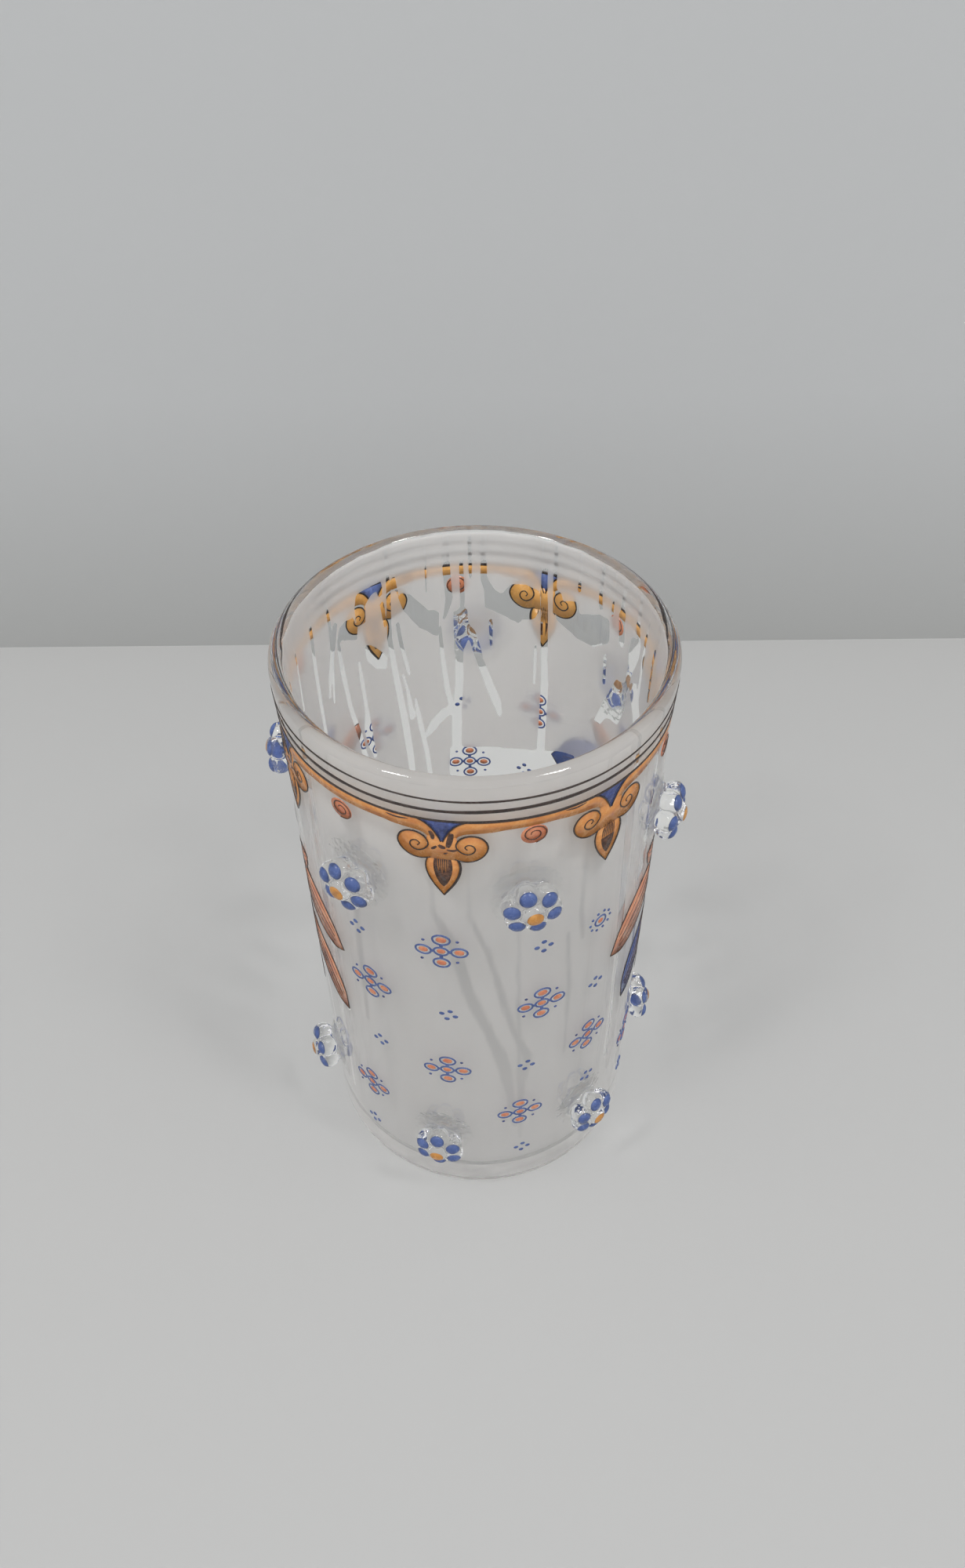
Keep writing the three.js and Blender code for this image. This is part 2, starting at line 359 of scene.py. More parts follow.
def fill(shell, angle, outline, height=FILL_HEIGHT, strip=1.5, edge=0.12):
    """A flat area of enamel, with a soft edge, cut into strips that follow the round wall."""
    work = bmesh.new()
    face = work.faces.new([work.verts.new((s, z, 0)) for s, z in outline])
    bmesh.ops.inset_region(work, faces=[face], thickness=edge, use_even_offset=False)
    rim = {v for v in work.verts if v.is_boundary}
    for v in work.verts:
        v.co.z = 0.4 * height if v in rim else height
    low, high = min(s for s, _ in outline), max(s for s, _ in outline)
    for cut in np.arange(low + strip, high - 0.1, strip):
        geometry = work.verts[:] + work.edges[:] + work.faces[:]
        bmesh.ops.bisect_plane(work, geom=geometry, plane_co=(cut, 0, 0), plane_no=(1, 0, 0), dist=1e-5)
    bmesh.ops.triangulate(work, faces=work.faces[:])
    for v in bmesh.ops.extrude_face_region(work, geom=work.faces[:])["geom"]:
        if isinstance(v, bmesh.types.BMVert):
            v.co.z = -ENAMEL_SINK
    work.verts.index_update()
    flat = np.array([v.co[:] for v in work.verts])
    faces = [[v.index for v in f.verts] for f in work.faces]
    shell.add(on_wall(angle, flat[:, 0], flat[:, 1], flat[:, 2]), faces)
    work.free()


def oval(across, z, half_width, half_height, count=24):
    """Points round an oval."""
    turn = np.arange(count) * 2 * np.pi / count
    return np.stack([across + half_width * np.cos(turn), z + half_height * np.sin(turn)], axis=1)


def dot(shell, angle, across, z, half_width, half_height, height=DOT_HEIGHT, sides=14):
    """A domed drop of enamel."""
    sink = 0.5 * (ENAMEL_SINK + LINE_SINK)
    rows = []
    for share, lift in ((1, -sink), (0.97, 0.35 * height), (0.75, 0.8 * height), (0.4, 0.97 * height)):
        ring = oval(across, z, share * half_width, share * half_height, sides)
        rows.append(on_wall(angle, ring[:, 0], ring[:, 1], lift))
    shell.add_tube(rows)


def mirrored(points, side):
    """The points as they are, or for side -1 their mirror image on the left."""
    return [(side * s, z) for s, z in points]


def both_sides(points):
    """A closed outline: the points, and back along their mirror image."""
    return [*mirrored(points, 1), *mirrored(points, -1)[::-1][1:]]


# Shader helpers


class Nodes:
    """Builds one material's node tree."""

    def __init__(self, name):
        self.material = bpy.data.materials.new(name)
        self.material.use_nodes = True
        self.tree = self.material.node_tree
        self.shader = self.tree.nodes["Principled BSDF"]

    def add(self, kind, inputs=(), **values):
        """A new node with these values. Its inputs, by name or number, are fed."""
        node = self.tree.nodes.new("ShaderNode" + kind)
        for key, value in values.items():
            setattr(node, key, value)
        for key, value in dict(inputs).items():
            self.feed(value, node.inputs[key])
        return node

    def feed(self, value, socket):
        """Sets the socket, or links another node's output to it."""
        if isinstance(value, bpy.types.NodeSocket):
            self.tree.links.new(value, socket)
        else:
            socket.default_value = value

    def shade(self, name, value):
        """Feeds one of the shader's own sockets."""
        self.feed(value, self.shader.inputs[name])

    def position(self, stretch):
        """Object coordinates, scaled along each axis."""
        place = self.add("TexCoord").outputs["Object"]
        return self.add("Mapping", {"Vector": place, "Scale": stretch}).outputs["Vector"]

    def coordinates(self):
        """The object's own x, y and z, in metres."""
        return self.add("SeparateXYZ", {0: self.position((1, 1, 1))}).outputs

    def noise(self, grain, detail=3.0, rough=0.55):
        """Noise with this many waves to the metre along each axis."""
        inputs = {"Vector": self.position(grain), "Scale": 1.0, "Detail": detail, "Roughness": rough}
        return self.add("TexNoise", inputs).outputs["Fac"]

    def remap(self, value, low, high, out_low=0, out_high=1, smooth=False):
        inputs = dict(enumerate((value, low, high, out_low, out_high)))
        ease = "SMOOTHSTEP" if smooth else "LINEAR"
        return self.add("MapRange", inputs, interpolation_type=ease).outputs["Result"]

    def mix(self, factor, a, b):
        """Between two numbers or sockets."""
        return self.add("Mix", {"Factor": factor, "A": a, "B": b}, data_type="FLOAT").outputs["Result"]

    def blend(self, factor, base, colour):
        """Between a colour socket and a fixed colour."""
        return self.add("Mix", {0: factor, 6: base, 7: (*colour, 1)}, data_type="RGBA").outputs[2]

    def maths(self, kind, a, b):
        return self.add("Math", {0: a, 1: b}, operation=kind).outputs["Value"]

    def from_behind(self):
        """1 on faces that look towards the vase's axis, else 0."""
        normal = self.add("NewGeometry").outputs["True Normal"]
        facing = self.add("VectorMath", {0: self.position((1, 1, 0)), 1: normal}, operation="DOT_PRODUCT")
        return self.maths("LESS_THAN", facing.outputs["Value"], 0.0)

    def ramp(self, factor, *stops):
        node = self.add("ValToRGB", {"Fac": factor})
        elements = node.color_ramp.elements
        while len(elements) < len(stops):
            elements.new(0.5)
        for element, (place, colour) in zip(elements, stops):
            element.position = place
            element.color = (*colour, 1)
        return node.outputs["Color"]

    def bump(self, height, strength, distance):
        inputs = {"Height": height, "Strength": strength, "Distance": distance}
        self.shade("Normal", self.add("Bump", inputs).outputs["Normal"])

    def open_where(self, factor, tint=1.0):
        """Where the factor is 1, light goes straight through, and this share of it is left."""
        way = self.add("BsdfTransparent", {"Color": (tint, tint, tint, 1)})
        pick = self.add("MixShader", {0: factor, 1: self.shader.outputs[0], 2: way.outputs[0]})
        self.feed(pick.outputs[0], self.tree.nodes["Material Output"].inputs["Surface"])

    def let_lamps_through(self, tint):
        """Lamps light what is behind the glass, dimmed a little by each surface."""
        self.open_where(self.add("LightPath").outputs["Is Shadow Ray"], tint)


# Most of a noise texture's values lie between these
NOISE_SPAN = (0.3, 0.7)

# Waves to the metre of the frosting's ragged edges, its striae and its clouds
RAGGED_GRAIN = (500, 500, 70)
STRIAE_GRAIN = (700, 700, 40)
CLOUD_GRAIN = (110, 110, 22)

# Colours of the frosting, of its thin places, of the painted light on its top at the front, and of bare glass
FROST = (0.86, 0.845, 0.83)
THIN_FROST = (0.71, 0.705, 0.7)
PAINTED_LIGHT_FROST = (0.92, 0.895, 0.87)
BARE_GLASS = (0.985, 0.992, 0.99)

# Light that the frosting lets through, between its clouds, in them, in its thin places, and in its top at the
# front, which also has painted light
SHEER, CLOUDY, THIN, MILKY = 0.66, 0.52, 0.85, 0.2

# Where the front, the painted light on its top and the painted shade on its foot begin and are complete, in
# metres
FRONT_Y = (-0.01, -0.035)
PAINTED_LIGHT_Z = (0.115, 0.16)
PAINTED_SHADE_Z = (0.1, 0.0)


def frosted_glass():
    """Clear glass whose inner wall is satin-frosted, but for its clear streaks."""
    n = Nodes("frosted_glass")
    ragged = n.remap(n.noise(RAGGED_GRAIN), 0.25, 0.75, -0.14, 0.14)
    clear_mm = n.add("Attribute", attribute_name="clear_mm").outputs["Fac"]
    clear = n.remap(n.maths("ADD", clear_mm, ragged), -0.18, 0.18, smooth=True)
    faint_mm = n.add("Attribute", attribute_name="faint_mm").outputs["Fac"]
    faint = n.remap(n.maths("ADD", faint_mm, n.maths("MULTIPLY", ragged, 3.0)), -0.5, 0.9, smooth=True)
    _, y, z = n.coordinates()
    front = n.remap(y, *FRONT_Y, smooth=True)
    # Painted light: the top of the front is lighter, and lets less light through
    milky_painted_light = n.maths("MULTIPLY", front, n.remap(z, *PAINTED_LIGHT_Z, smooth=True))
    # Painted shade: the foot of the front takes half of the thin frosting's darker colour
    painted_shade_foot = n.maths("MULTIPLY", front, n.remap(z, *PAINTED_SHADE_Z, smooth=True))
    cloudy = n.remap(n.noise(CLOUD_GRAIN, 4.0), *NOISE_SPAN)
    sheer = n.mix(milky_painted_light, n.mix(faint, n.mix(cloudy, SHEER, CLOUDY), THIN), MILKY)
    thin = n.maths("MAXIMUM", faint, n.maths("MULTIPLY", painted_shade_foot, 0.5))
    frost = n.blend(milky_painted_light, n.ramp(thin, (0, FROST), (1, THIN_FROST)), PAINTED_LIGHT_FROST)
    n.shade("Base Color", n.blend(clear, frost, BARE_GLASS))
    n.shade("Transmission Weight", n.mix(clear, sheer, 1.0))
    n.shade("Roughness", n.mix(clear, n.mix(cloudy, 0.62, 0.75), 0.02))
    n.shade("IOR", 1.5)
    n.bump(n.noise(STRIAE_GRAIN), 0.12, 0.0001)
    n.let_lamps_through(0.95)
    return n.material


def clear_glass():
    """Fire-polished glass with the slight unevenness of a hot drop."""
    n = Nodes("clear_glass")
    wave = n.noise((190, 190, 190), 2.0)
    n.shade("Base Color", n.ramp(wave, (NOISE_SPAN[0], (0.985, 0.995, 0.99)), (NOISE_SPAN[1], (1, 1, 1))))
    n.shade("Roughness", n.remap(wave, *NOISE_SPAN, 0.01, 0.04))
    n.shade("Transmission Weight", 1.0)
    n.shade("IOR", 1.45)
    n.bump(n.noise((620, 620, 620), 2.0), 0.3, 0.0002)
    n.let_lamps_through(0.99)
    return n.material


def enamel(name, *colours, scale=420, gloss=0.24, painted_backlight=None):
    """Fired enamel: mottled, uneven and glossy. Seen through the glass, from behind, it has a lighter colour
    painted on, for light shining through it.
    """
    n = Nodes(name + "_enamel")
    mottle = n.noise((scale, scale, scale), 4.0, 0.6)
    colour = n.ramp(mottle, *zip(np.linspace(*NOISE_SPAN, len(colours)), colours))
    # Painted light: the side towards the axis is lighter, as if lit from behind
    if painted_backlight:
        colour = n.blend(n.maths("MULTIPLY", n.from_behind(), 0.85), colour, painted_backlight)
    n.shade("Base Color", colour)
    n.shade("Roughness", n.remap(mottle, *NOISE_SPAN, gloss - 0.08, gloss + 0.1))
    n.bump(mottle, 0.3, 0.0001)
    return n.material


BLACK = enamel("black", (0.014, 0.008, 0.007), (0.042, 0.024, 0.018))
BROWN = enamel("brown", (0.025, 0.012, 0.01), (0.07, 0.03, 0.018), (0.14, 0.06, 0.03), scale=900)
AMBER = enamel("amber", (0.36, 0.15, 0.03), (0.5, 0.22, 0.045), (0.56, 0.27, 0.07))
ORANGE = enamel("orange", (0.48, 0.17, 0.05), (0.6, 0.25, 0.07), (0.64, 0.31, 0.11), painted_backlight=(0.95, 0.5, 0.12))
RED = enamel("red", (0.47, 0.13, 0.06), (0.58, 0.2, 0.1), (0.64, 0.27, 0.14), painted_backlight=(0.85, 0.28, 0.12))
MARBLED = enamel(
    "marbled", (0.3, 0.15, 0.11), (0.55, 0.22, 0.13), (0.62, 0.29, 0.17), (0.6, 0.45, 0.38), scale=160
)
BLUE = enamel("blue", (0.04, 0.07, 0.2), (0.06, 0.1, 0.27), (0.085, 0.135, 0.32), painted_backlight=(0.07, 0.13, 0.4))
DARK_BLUE = enamel(
    "dark_blue", (0.025, 0.035, 0.1), (0.05, 0.07, 0.2), (0.07, 0.11, 0.32), scale=700, painted_backlight=(0.12, 0.2, 0.52)
)
FROSTED = frosted_glass()
CLEAR = clear_glass()


# The vessel


def arc(r, z, radius, start, end, steps):
    """Points round an arc in the section."""
    turn = np.radians(np.linspace(start, end, steps + 1))
    return np.stack([r + radius * np.cos(turn), z + radius * np.sin(turn)], axis=1)


def lines(*corners):
    """Points along runs between corners, each a radius, a height and the step to the next."""
    runs = []
    for (r, z, step), (next_r, next_z, _) in zip(corners, corners[1:]):
        parts = max(1, round(math.dist((r, z), (next_r, next_z)) / step))
        runs.append(np.linspace((r, z), (next_r, next_z), parts + 1)[:-1])
    return np.vstack(runs)


def vessel_profile():
    """Radius and height round the section, and where its outside and its inside begin."""
    heel = FOOT_RADIUS - HEEL_RADIUS
    ring = heel - REST_RING_WIDTH
    lip = LIP_THICKNESS / 2
    corner_z = FLOOR_THICKNESS + FLOOR_CORNER_RADIUS
    corner_r = float(wall_radius(corner_z)) - WALL_THICKNESS
    flat_r = corner_r - FLOOR_CORNER_RADIUS
    neck = (NECK_RADIUS, NECK_HEIGHT, LIP_RUN)
    inner_neck = (NECK_RADIUS - WALL_THICKNESS, NECK_HEIGHT, FROST_ROW)
    axis = 0.01
    underside = lines((axis, PONTIL_DEPTH, 8), (PONTIL_RADIUS, PONTIL_DEPTH, 8), (ring, 0, 5), (heel, 0, 0))
    outside = np.vstack([
        arc(heel, HEEL_RADIUS, HEEL_RADIUS, -90, 0, 5),
        lines((FOOT_RADIUS, HEEL_RADIUS, 40), neck, (RIM_RADIUS, LIP_HEIGHT, 0))[1:],
        arc(RIM_RADIUS - lip, LIP_HEIGHT, lip, 0, 140, 11),
    ])
    inside = np.vstack([
        arc(RIM_RADIUS - lip, LIP_HEIGHT, lip, 152, 180, 3),
        lines((RIM_RADIUS - 2 * lip, LIP_HEIGHT, FROST_ROW), inner_neck, (corner_r, corner_z, 0))[1:],
        arc(flat_r, corner_z, FLOOR_CORNER_RADIUS, 0, -90, 7),
        lines((flat_r, FLOOR_THICKNESS, 5), (axis, FLOOR_THICKNESS, 0))[1:],
        [(axis, FLOOR_THICKNESS)],
    ])
    return np.vstack([underside, outside, inside]), len(underside), len(underside) + len(outside)


def inner_scale(heights):
    """Millimetres per degree along the inner wall, by row."""
    return np.radians(1) * (wall_radius(heights) - WALL_THICKNESS)[:, None]


def turned_from(middle, angles):
    """Degrees from the middle to each angle, between -180 and 180."""
    return ((angles - middle + 180) % 360 - 180)[None, :]


def nearest_on(across, up, run, rise):
    """The share of a straight run that leads to the place nearest to each point, and how far that is."""
    share = np.clip((across * run + up * rise) / (run**2 + rise**2), 0, 1)
    return share, np.hypot(across - share * run, up - share * rise)


def streak_clearance(streaks, angles, heights):
    """Millimetres inside the nearest streak, or less than zero outside all."""
    best = np.full((len(heights), len(angles)), -ALL_CLEAR)
    scale = inner_scale(heights)
    for streak in streaks:
        for (angle_a, z_a, half_a), (angle_b, z_b, half_b) in zip(streak, streak[1:]):
            across, up = turned_from(angle_a, angles) * scale, (heights - z_a)[:, None]
            share, away = nearest_on(across, up, (angle_b - angle_a) * scale, z_b - z_a)
            best = np.maximum(best, half_a + (half_b - half_a) * share - away)
    return best


def window_clearance(outline, angles, heights):
    """Millimetres inside the outline, or less than zero outside it."""
    scale = inner_scale(heights)
    middle = sum(angle for angle, _ in outline) / len(outline)
    nearest = np.full((len(heights), len(angles)), np.inf)
    within = np.zeros(nearest.shape, bool)
    for (angle_a, z_a), (angle_b, z_b) in zip(outline, (*outline[1:], outline[0])):
        across = (turned_from(middle, angles) + middle - angle_a) * scale
        up = (heights - z_a)[:, None]
        run, rise = (angle_b - angle_a) * scale, z_b - z_a
        nearest = np.minimum(nearest, nearest_on(across, up, run, rise)[1])
        if rise:
            crosses = (up >= min(rise, 0)) & (up < max(rise, 0))
            within ^= crosses & (across < run * up / rise)
    return np.where(within, nearest, -nearest)


def clear_places(angles, heights):
    """Millimetres inside the nearest streak or patch. The frosting nearly closes above their top."""
    clearance = streak_clearance(STREAKS, angles, heights)
    for window in WINDOWS:
        clearance = np.maximum(clearance, window_clearance(window, angles, heights))
    most = np.interp(heights, (STREAK_TOP, STREAK_TOP + 0.8), (ALL_CLEAR, HALF_CLEAR))
    return np.minimum(clearance, most[:, None])


def inner_relief(profile, angles, clearance):
    """How far the inner wall lies back, in its streaks and its faint flutes."""
    groove = GROOVE_DEPTH / (1 + np.exp(-4 * clearance)) * (profile[:, :1] > FLAT_FLOOR_RADIUS)
    flutes = sum(depth * np.sin(np.radians(count * angles + turn)) for depth, count, turn in FLUTES)
    above = (profile[:, 1:] - FLOOR_THICKNESS - FLOOR_CORNER_RADIUS) / FLUTE_RUN
    return groove + np.clip(above, 0, 1) * flutes


def make_vessel():
    profile, first_outside, first_inside = vessel_profile()
    angles = np.arange(AROUND) * 360 / AROUND
    clearance = clear_places(angles, profile[:, 1])
    clearance[:first_outside] = -ALL_CLEAR
    clearance[first_outside:first_inside] = ALL_CLEAR
    faint = streak_clearance(FAINT_STREAKS, angles, profile[:, 1])
    relief = inner_relief(profile, angles, clearance)
    relief[:first_inside] = 0
    shell = Shell("glass_vessel", FROSTED)
    shell.add_tube(polar(profile[:, :1] + relief, angles[None, :], profile[:, 1:]))
    vessel = shell.build()
    for name, values in (("clear_mm", clearance), ("faint_mm", faint)):
        stored = vessel.data.attributes.new(name, "FLOAT", "POINT")
        stored.data.foreach_set("value", values.ravel())
    return vessel


# The prunts


def prunt_frame(name):
    """The matrix, in millimetres, from a head's own axes (across, up, out) to the vase."""
    angle, height, *_ = PRUNTS[name]
    turn = math.radians(angle)
    out = Vector((math.sin(turn), -math.cos(turn), 0))
    origin = out * float(wall_radius(height))
    return Matrix((
        (-out.y, 0, out.x, origin.x),
        (out.x, 0, out.y, origin.y),
        (0, 1, 0, height),
        (0, 0, 0, 1),
    ))


def bead_centres(name):
    """Where the beads are in the head's own axes: the ring, then the middle one."""
    _, _, _, stamp, proud = PRUNTS[name]
    ring = []
    for i in range(RING_BEADS):
        turn = math.radians(stamp + 360 * i / RING_BEADS)
        across, up = BEAD_RING_RADIUS * math.sin(turn), BEAD_RING_RADIUS * math.cos(turn)
        ring.append(Vector((across, up, RING_BEAD_LIFT + proud)))
    return ring, Vector((0, 0, CENTRE_BEAD_LIFT + proud))


def add_ball(work, centre, width, depth):
    ball = bmesh.ops.create_icosphere(work, subdivisions=4, radius=1.0)["verts"]
    bmesh.ops.scale(work, vec=(width, width, depth), verts=ball)
    bmesh.ops.translate(work, vec=centre, verts=ball)


def add_pad(work, height, rise, rings=12, sides=48):
    """An oval that follows the wall and thins out to an edge rooted in it."""
    full = PAD_THICKNESS + PAD_ROOT
    spread = 1 / math.sqrt(1 - math.sqrt(PAD_ROOT / full))
    wall = float(wall_radius(height))
    turn = 2 * np.pi * np.arange(sides) / sides
    rows = []
    for share in np.arange(1, rings + 1) / rings:
        x = PAD_HALF_WIDTH * spread * share * np.cos(turn)
        y = PAD_HALF_HEIGHT * spread * share * np.sin(turn) + rise
        z = np.sqrt(wall**2 - x**2) - wall + full * (1 - share**2) ** 2 - PAD_ROOT
        rows.append([work.verts.new(place) for place in zip(x, y, z)])
    middle = work.verts.new((0, rise, PAD_THICKNESS))
    back = work.verts.new((0, rise, -BEAD_RADIUS))
    for j in range(sides):
        k = (j + 1) % sides
        work.faces.new((middle, rows[0][j], rows[0][k]))
        work.faces.new((back, rows[-1][k], rows[-1][j]))
        for inner, outer in zip(rows, rows[1:]):
            work.faces.new((inner[j], outer[j], outer[k], inner[k]))


def make_prunt(name):
    """The pad, the core and the beads of one prunt, still apart."""
    _, height, rise, _, proud = PRUNTS[name]
    ring, middle = bead_centres(name)
    bead = BEAD_RADIUS + BEAD_SKIN
    work = bmesh.new()
    add_pad(work, height, rise)
    add_ball(work, (0, 0, CORE_LIFT + proud), CORE_RADIUS, CORE_HEIGHT)
    for centre in ring:
        add_ball(work, centre, bead, bead)
    add_ball(work, middle, bead, bead * CENTRE_BEAD_SQUASH)
    work.transform(prunt_frame(name))
    work.transform(Matrix.Scale(METRES, 4))
    mesh = bpy.data.meshes.new(name + "_glass")
    work.to_mesh(mesh)
    work.free()
    return put(name + "_glass", mesh)


def ripple(mesh):
    """Small waves in the skin, as a hot drop keeps when it's stamped."""
    places, normals = np.empty((2, len(mesh.vertices), 3), np.float32)
    mesh.vertices.foreach_get("co", places.ravel())
    mesh.vertex_normals.foreach_get("vector", normals.ravel())
    swell = []
    for place in map(Vector, places):
        swell.append(noise.noise(place * BROAD_WAVES) + 0.5 * noise.noise(place * FINE_WAVES))
    places += normals * (RIPPLE_DEPTH * METRES * np.array(swell, np.float32))[:, None]
    mesh.vertices.foreach_set("co", places.ravel())
    mesh.update()


def settle(thing):
    """Makes an object's modifiers part of its mesh."""
    settled = thing.evaluated_get(bpy.context.evaluated_depsgraph_get())
    mesh = bpy.data.meshes.new_from_object(settled)
    thing.modifiers.clear()
    thing.data = mesh
    return mesh


def melt(prunt, height):
    """Joins the parts into one skin, softens and ripples it, and trims it to the wall."""
    remesh = prunt.modifiers.new("join", "REMESH")
    remesh.mode = "VOXEL"
    remesh.voxel_size = PRUNT_VOXEL * METRES
    soften = prunt.modifiers.new("soften", "SMOOTH")
    soften.factor = 0.5
    soften.iterations = 5
    ripple(settle(prunt))
    cutter = wall_cutter(height)
    trim = prunt.modifiers.new("trim", "BOOLEAN")
    trim.operation = "DIFFERENCE"
    trim.solver = "EXACT"
    trim.object = cutter
    mesh = settle(prunt)
    bpy.data.objects.remove(cutter)
    mesh.shade_smooth()
    mesh.set_sharp_from_angle(angle=math.radians(SHARPEST_CREASE))
    mesh.materials.clear()
    mesh.materials.append(CLEAR)


def wall_cutter(height, reach=14, sides=240):
    """A cone a hair inside the outer wall, from below to above a prunt."""
    angles = np.arange(sides) * 360 / sides
    rows = [polar(wall_radius(z) - PRUNT_SINK, angles, z) for z in (height - reach, height + reach)]
    shell = Shell("wall_cutter", CLEAR)
    shell.add_tube(rows)
    return shell.build()


def bead_drop(shell, place, centre, direction, reach, squash=1.0, sides=20):
    """A drop of enamel that hugs a bead, out to the reach in degrees."""
    turn = direction.to_track_quat("Z", "Y").to_matrix()
    rows = []
    for share, lift in DROP_SECTION:
        lean = math.radians(share * reach)
        row = []
        for j in range(sides):
            around = 2 * math.pi * j / sides
            level = math.sin(lean)
            out = turn @ Vector((level * math.cos(around), level * math.sin(around), math.cos(lean)))
            out *= BEAD_RADIUS + lift
            row.append(place @ (centre + Vector((out.x, out.y, out.z * squash))))
        rows.append(row)
    shell.add_tube(rows)


def make_prunts():
    blue, orange = Shell("prunt_dots_blue", BLUE), Shell("prunt_dots_orange", AMBER)
    outwards = Vector((0, 0, 1))
    made = []
    for name, (_, height, *_) in PRUNTS.items():
        prunt = make_prunt(name)
        melt(prunt, height)
        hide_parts(name)
        made.append(prunt)
        place = prunt_frame(name)
        ring, middle = bead_centres(name)
        for centre in ring:
            lean = BLUE_DROP_LEAN * Vector((centre.x, centre.y, 0)).normalized()
            bead_drop(blue, place, centre, outwards + lean, BLUE_DROP_REACH)
        bead_drop(orange, place, middle, outwards, AMBER_DROP_REACH, CENTRE_BEAD_SQUASH)
    return [*made, blue.build(), orange.build()]


# The border. The outlines are of a pendant's right half. The dabs are strokes with their widths, for the
# mottled pendants.

VOLUTE = (
    (2.6, 148.7), (4.9, 148.05), (7.1, 148.5), (8.9, 150.1), (9.7, 152.4), (9.1, 154.5), (7.7, 155.8),
    (5.8, 156.1), (4.2, 155.4), (3.2, 154.1), (3, 152.6), (3.9, 151.1), (5.3, 150.4), (6.5, 150.9),
    (7, 152), (6.5, 153.1), (5.5, 153.4), (4.8, 152.6), (5.3, 151.9),
)
VOLUTE_OUTER = 11
LEAF = ((3.2, 148.6), (3.65, 147.2), (3.75, 145.4), (3.3, 143), (2.2, 140.3), (0.85, 138), (0, 136.6))
LEAF_HEART = ((1.8, 148.5), (2.05, 146.8), (2, 144.8), (1.6, 142.6), (0.85, 140.6), (0, 139.4))
DABS = (
    ((-2.5, 157), (-2, 155.8), (-1.9, 154.6), 1.2), ((2.1, 156.8), (1.7, 154.6), (1.2, 152.4), 1.6),
    ((-0.7, 152.9), (0, 152.3), (0.7, 152.2), 1.3), ((-2.3, 151.5), (-1.8, 151.8), (-1.2, 152.5), 0.9),
    ((1, 151.6), (2.2, 151.4), (3.4, 151.9), 0.8), ((0.3, 150.3), (0.7, 150.4), (1.1, 150.7), 0.6),
    ((0.6, 148.5), (1, 147.8), (1.2, 147), 0.5),
)
SHADE = ((5.6, 160.5), (3.5, 159.4), (2, 157.8), (0.9, 155.8), (0.2, 154))
SWOOP = ((14.5, BAND_FOOT), (11, 157.2), (8, 156.95), (5.2, 156.7), (3.6, 156), (2.7, 154.9))
ROOT = ((3.2, 148.4), (3.4, 151.5), (3.1, 155.5))
MOTTLED = (-66, -9, 97)


def make_rim_lines(steps=240):
    """The lines right round the wall. Their heights and widths waver as a brush does."""
    turn = 2 * np.pi * np.arange(steps) / steps
    wave = np.linspace(0, 2 * np.pi, steps)
    made = []
    for name, (z, width) in RIM_LINES.items():
        middle = z + 0.12 * np.sin(3 * turn + z) + 0.06 * np.sin(8 * turn + 2 * z)
        half = width / 2 * (1 + 0.14 * np.sin(5 * wave) + 0.1 * np.sin(17 * wave + 1))
        columns = []
        for offset, lift in brush_section(LINE_HEIGHT, 1, 0.7):
            height = middle + offset * half
            columns.append(polar(wall_radius(height) + lift, np.degrees(turn), height))
        shell = Shell("rim_line_" + name, BLACK)
        shell.add_tube(np.stack(columns, axis=1), closed=True)
        made.append(shell.build())
    return made


def band_outline(span):
    """The orange band from the middle of a pendant to the middle of the next, a span away."""
    shade_end, swoop_end = ([(span - s, z) for s, z in points] for points in (SHADE, SWOOP))
    begin = smooth_path([(0, BAND_END), *SHADE[::-1]])
    top = [(s, BAND_TOP) for s in np.linspace(SHADE[0][0], shade_end[0][0], 20)]
    end = smooth_path([*shade_end, (span, BAND_END)])
    foot = smooth_path([*swoop_end[::-1], *SWOOP], 0.8)
    return [*begin[:-1], *top, *end[1:], *foot]


def add_pendant(orange, outline, blue, brown, angle):
    """Two volutes over a pointed leaf, the root that joins them, and the shade between them."""
    volute = smooth_path(VOLUTE[:VOLUTE_OUTER])
    for side in (-1, 1):
        fill(orange, angle, mirrored(volute, side)[::side], VOLUTE_LAYER + LAYER_STEP * side)
        stroke(outline, angle, mirrored(VOLUTE, side), 0.4, taper=0.7)
        stroke(outline, angle, mirrored(LEAF, side), 0.52 + 0.14 * side, taper=0.7)
        stroke(outline, angle, mirrored(SHADE, side), 0.42, taper=0.7)
    fill(orange, angle, both_sides(smooth_path(LEAF)), LEAF_LAYER)
    fill(orange, angle, [*mirrored(ROOT, -1)[::-1], *ROOT], ROOT_LAYER)
    fill(blue, angle, both_sides(smooth_path(SHADE)), SHADE_LAYER)
    stroke(brown, angle, [(-7, 159.6), (-9.5, 159.3), (-12, 159.6)], 0.6, taper=0.1, height=ROOT_LAYER)


def make_border():
    orange, outline = Shell("border_orange", ORANGE), Shell("border_outline", BLACK)
    blue, brown = Shell("border_blue", DARK_BLUE), Shell("border_shading", BROWN)
    for angle, after in zip(PENDANT_ANGLES, np.roll(PENDANT_ANGLES, -1)):
        span = float(np.radians((after - angle) % 360) * wall_radius(BAND_FOOT))
        fill(orange, angle, band_outline(span), BAND_LAYER)
        add_pendant(orange, outline, blue, brown, angle)
        if angle in MOTTLED:
            dark_heart(brown, orange, angle)
            for *points, width in DABS:
                stroke(brown, angle, points, width, taper=0.55, height=SHADE_LAYER)
        else:
            hatched_heart(brown, angle)
    return [shell.build() for shell in (orange, outline, blue, brown)]


def dark_heart(brown, orange, angle):
    """A solid dark heart, with fine orange lines let into its upper half."""
    fill(brown, angle, both_sides(smooth_path(LEAF_HEART, 0.5)), HEART_LAYER)
    for i, s in enumerate(np.linspace(-1.1, 1.1, 6)):
        foot = 143.6 + 0.9 * (i % 2) + abs(s)
        stroke(orange, angle, [(s, 148.6), (0.97 * s, 146.5), (0.9 * s, foot)], 0.17, taper=0.2)


